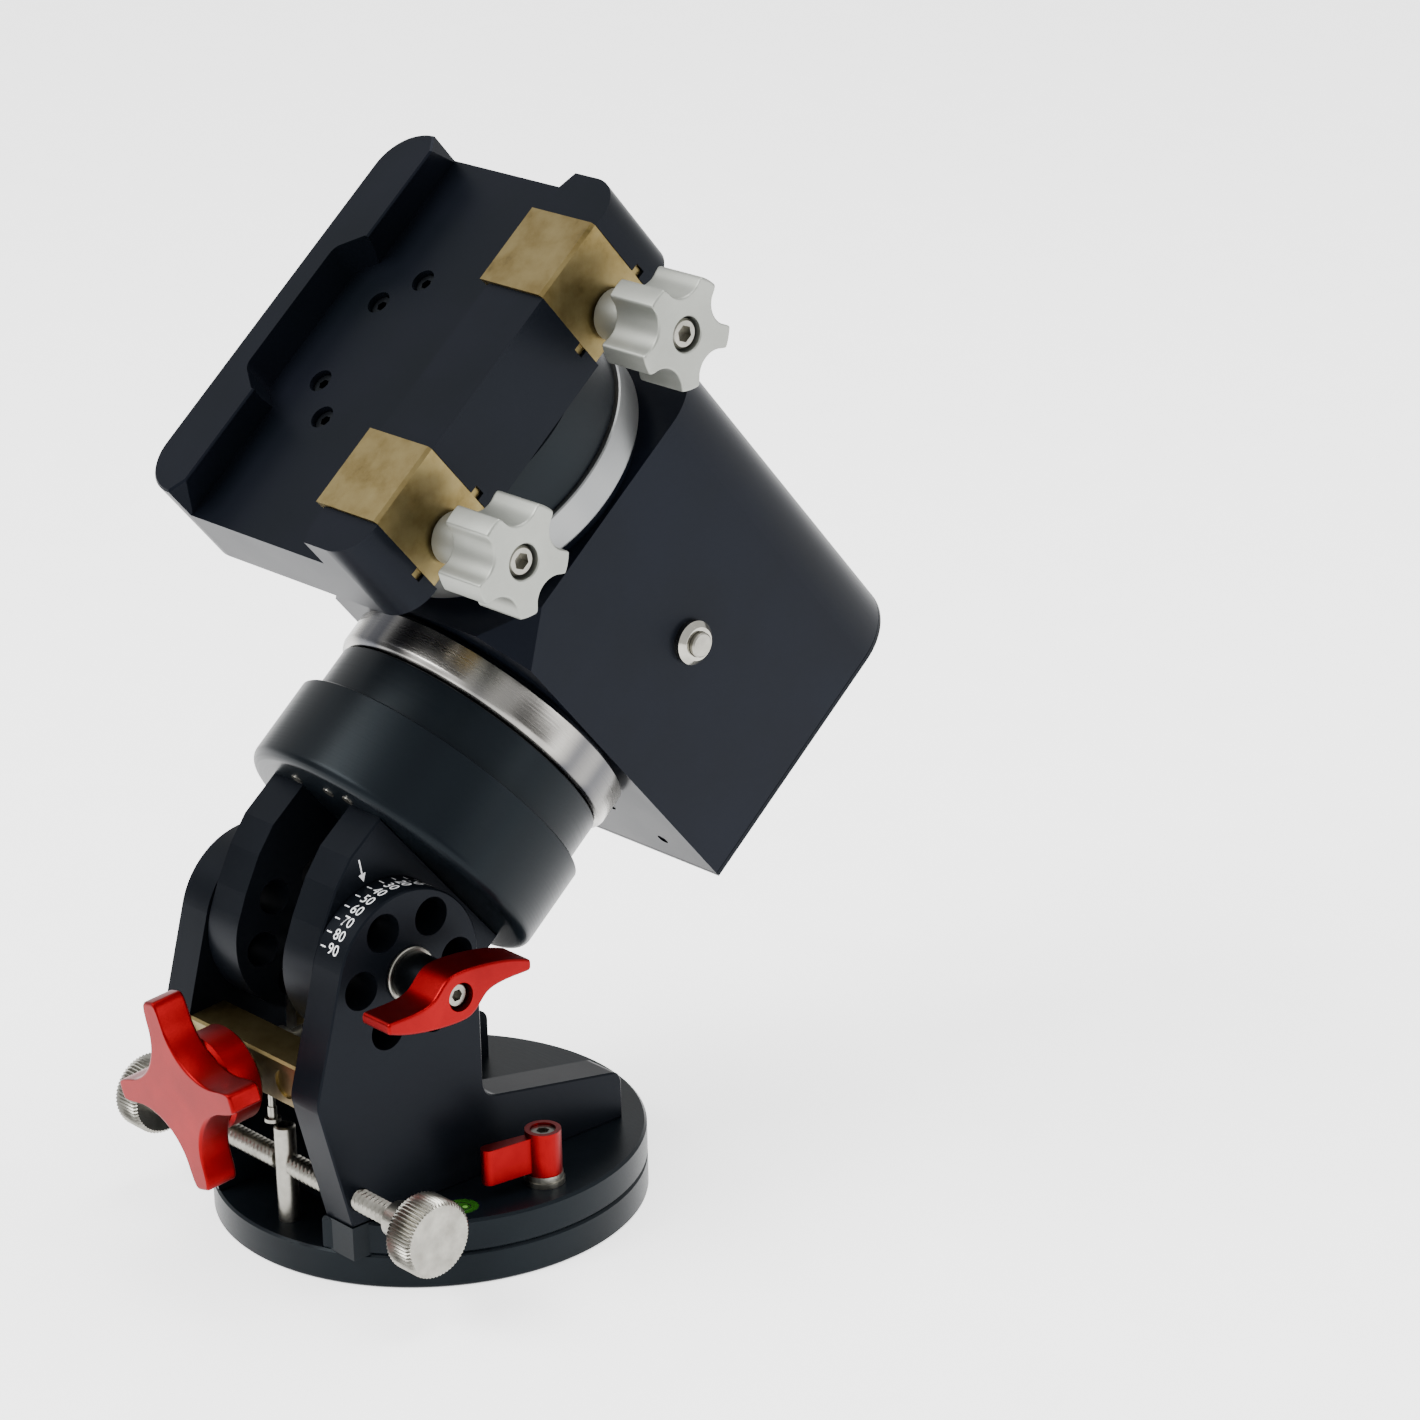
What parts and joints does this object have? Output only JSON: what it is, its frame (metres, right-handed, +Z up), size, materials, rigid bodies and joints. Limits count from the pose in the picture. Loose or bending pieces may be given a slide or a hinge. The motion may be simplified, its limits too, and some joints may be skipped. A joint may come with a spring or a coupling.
{
  "type": "star tracker mount",
  "caption": "Strain-wave equatorial head on an altitude-azimuth wedge base, with a dovetail saddle, brass jaws, star knobs, clamp levers and push screws.",
  "frame": {"origin": "bottom centre of the round base, where it meets the tripod", "axes": "+Z up; altitude axis parallel to X with the clamp lever on +X; the red tilt knob faces -Y"},
  "size_m": [0.1252, 0.2179, 0.2668],
  "materials": {
    "belt": "toothed timing belt",
    "black_anodised": "satin black anodised aluminium",
    "black_milled": "milled and black anodised aluminium",
    "black_plate": "satin black anodised plate",
    "black_screw": "black oxide socket screw",
    "black_turned": "turned and black anodised aluminium",
    "board": "green circuit board",
    "brass": "machined brass with handling marks",
    "chrome": "polished chrome",
    "motor_steel": "laminated motor body",
    "port_plastic": "black connector shell",
    "red_anodised": "red anodised aluminium",
    "satin_ring": "satin ground steel",
    "satin_silver": "bead blasted clear anodised aluminium",
    "stainless": "stainless steel",
    "turned_steel": "bright turned steel",
    "vial": "clear acrylic over green spirit"
  },
  "bodies": {
    "base": {"base_disc": "black_turned", "azimuth_retainer": "turned_steel", "azimuth_retainer_screws": "black_screw", "azimuth_post": "stainless"},
    "turntable": {"turntable_disc": "black_turned", "yoke_plate_right": "black_plate", "yoke_plate_left": "black_plate", "yoke_foot_screws": "black_screw", "altitude_axle": "stainless", "tilt_bar": "brass", "tilt_stud": "stainless", "level_case": "black_anodised", "level_vial": "vial"},
    "azimuth_lever": {"azimuth_lever": "red_anodised", "azimuth_lever_screw": "stainless"},
    "thumb_right": {"thumb_screw_right": "stainless"},
    "thumb_left": {"thumb_screw_left": "stainless"},
    "tilt_knob": {"tilt_knob": "red_anodised", "tilt_screw": "stainless"},
    "tilt_nut": {"tilt_nut": "brass"},
    "pivot_lever": {"pivot_lever": "red_anodised", "pivot_lever_bush": "black_screw", "pivot_lever_screw": "stainless"},
    "altitude_block": {"clevis_plate_right": "black_plate", "clevis_plate_left": "black_plate", "tilt_fork_right": "stainless", "tilt_fork_left": "stainless", "altitude_block_screws": "stainless", "ra_drum": "black_turned", "ra_mid_drum": "black_turned", "ra_bearing_ring": "turned_steel", "ra_flexspline": "turned_steel"},
    "ra_head": {"ra_ring": "turned_steel", "head_housing": "black_anodised", "rear_cover": "black_plate", "rear_cover_screws": "black_screw", "dec_ring": "satin_ring", "power_bezel": "chrome", "ra_motor": "motor_steel", "dec_motor": "motor_steel", "control_board": "board", "side_ports": "port_plastic", "ra_belt": "belt", "dec_belt": "belt"},
    "power_button": {"power_button": "stainless"},
    "ra_wave": {"ra_wave_generator": "turned_steel"},
    "ra_pinion": {"ra_motor_pulley": "satin_silver"},
    "dec_wave": {"dec_wave_generator": "turned_steel"},
    "dec_pinion": {"dec_motor_pulley": "satin_silver"},
    "dec_saddle": {"dec_flange": "black_turned", "dec_bearing_ring": "turned_steel", "dec_flexspline": "turned_steel", "saddle": "black_milled", "saddle_screws": "black_screw"},
    "jaw_front": {"jaw_front": "brass"},
    "jaw_rear": {"jaw_rear": "brass"},
    "jaw_knob_front": {"jaw_knob_front": "satin_silver", "jaw_screw_front": "stainless"},
    "jaw_knob_rear": {"jaw_knob_rear": "satin_silver", "jaw_screw_rear": "stainless"}
  },
  "joints": [
    {"name": "azimuth", "type": "hinge", "parent": "base", "child": "turntable", "pos_m": [0, 0, 0.0135], "axis": [0, 0, 1], "range_deg": [-8, 8]},
    {"name": "azimuth_lever_turn", "type": "hinge", "parent": "turntable", "child": "azimuth_lever", "pos_m": [0.046, 0, 0.02], "axis": [0, 0, 1], "range_deg": [-15, 90]},
    {"name": "thumb_right_slide", "type": "slide", "parent": "turntable", "child": "thumb_right", "axis": [1, 0, 0], "range_m": [-0.0068, 0.0068]},
    {"name": "thumb_left_slide", "type": "slide", "parent": "turntable", "child": "thumb_left", "axis": [1, 0, 0], "range_m": [-0.0068, 0.0068]},
    {"name": "altitude", "type": "hinge", "parent": "turntable", "child": "altitude_block", "pos_m": [0, -0.0293, 0.08], "axis": [1, 0, 0], "range_deg": [-16, 30]},
    {"name": "tilt_knob_turn", "type": "hinge", "parent": "turntable", "child": "tilt_knob", "pos_m": [0, -0.0785, 0.0521], "axis": [0, 0.9962, 0.0872], "continuous": true},
    {"name": "tilt_nut_slide", "type": "slide", "parent": "turntable", "child": "tilt_nut", "axis": [0, 0.9962, 0.0872], "range_m": [-0.0076, 0.0136]},
    {"name": "pivot_lever_turn", "type": "hinge", "parent": "turntable", "child": "pivot_lever", "pos_m": [0.047, -0.0293, 0.08], "axis": [1, 0, 0], "range_deg": [-60, 60]},
    {"name": "right_ascension", "type": "hinge", "parent": "altitude_block", "child": "ra_head", "pos_m": [0, 0.01819, 0.11985], "axis": [0, 0.766, 0.6428], "continuous": true},
    {"name": "declination", "type": "hinge", "parent": "ra_head", "child": "dec_saddle", "pos_m": [0, 0.02607, 0.19604], "axis": [0, -0.6428, 0.766], "continuous": true},
    {"name": "power_button_press", "type": "slide", "parent": "ra_head", "child": "power_button", "axis": [-1, 0, 0], "range_m": [0, 0.0015], "stiffness_N_per_m": 300},
    {"name": "ra_wave_turn", "type": "hinge", "parent": "ra_head", "child": "ra_wave", "pos_m": [0, 0.03198, 0.13142], "axis": [0, 0.766, 0.6428], "continuous": true},
    {"name": "ra_pinion_turn", "type": "hinge", "parent": "ra_head", "child": "ra_pinion", "pos_m": [0, 0.05923, 0.10207], "axis": [0, 0.766, 0.6428], "continuous": true},
    {"name": "dec_wave_turn", "type": "hinge", "parent": "ra_head", "child": "dec_wave", "pos_m": [0, 0.05518, 0.16134], "axis": [0, -0.6428, 0.766], "continuous": true},
    {"name": "dec_pinion_turn", "type": "hinge", "parent": "ra_head", "child": "dec_pinion", "pos_m": [0, 0.07421, 0.176], "axis": [0, -0.6428, 0.766], "continuous": true},
    {"name": "jaw_front_slide", "type": "slide", "parent": "dec_saddle", "child": "jaw_front", "axis": [1, 0, 0], "range_m": [-0.004, 0.0025]},
    {"name": "jaw_knob_front_turn", "type": "hinge", "parent": "jaw_front", "child": "jaw_knob_front", "pos_m": [0.06, -0.01679, 0.19141], "axis": [1, 0, 0], "range_deg": [-1170, 740]},
    {"name": "jaw_rear_slide", "type": "slide", "parent": "dec_saddle", "child": "jaw_rear", "axis": [1, 0, 0], "range_m": [-0.004, 0.0025]},
    {"name": "jaw_knob_rear_turn", "type": "hinge", "parent": "jaw_rear", "child": "jaw_knob_rear", "pos_m": [0.06, 0.03569, 0.23544], "axis": [1, 0, 0], "range_deg": [-1170, 740]}
  ],
  "couplings": [
    {"joint": "thumb_right_slide", "follows": "azimuth", "m_per_rad": -0.0478},
    {"joint": "thumb_left_slide", "follows": "azimuth", "m_per_rad": -0.0478},
    {"joint": "tilt_nut_slide", "follows": "altitude", "m_per_rad": 0.0247},
    {"joint": "tilt_knob_turn", "follows": "altitude", "ratio": -103.46},
    {"joint": "ra_wave_turn", "follows": "right_ascension", "ratio": 100},
    {"joint": "ra_pinion_turn", "follows": "right_ascension", "ratio": 200},
    {"joint": "dec_wave_turn", "follows": "declination", "ratio": -100},
    {"joint": "dec_pinion_turn", "follows": "declination", "ratio": -200},
    {"joint": "jaw_knob_front_turn", "follows": "jaw_front_slide", "rad_per_m": 5026.5},
    {"joint": "jaw_knob_rear_turn", "follows": "jaw_rear_slide", "rad_per_m": 5026.5}
  ]
}
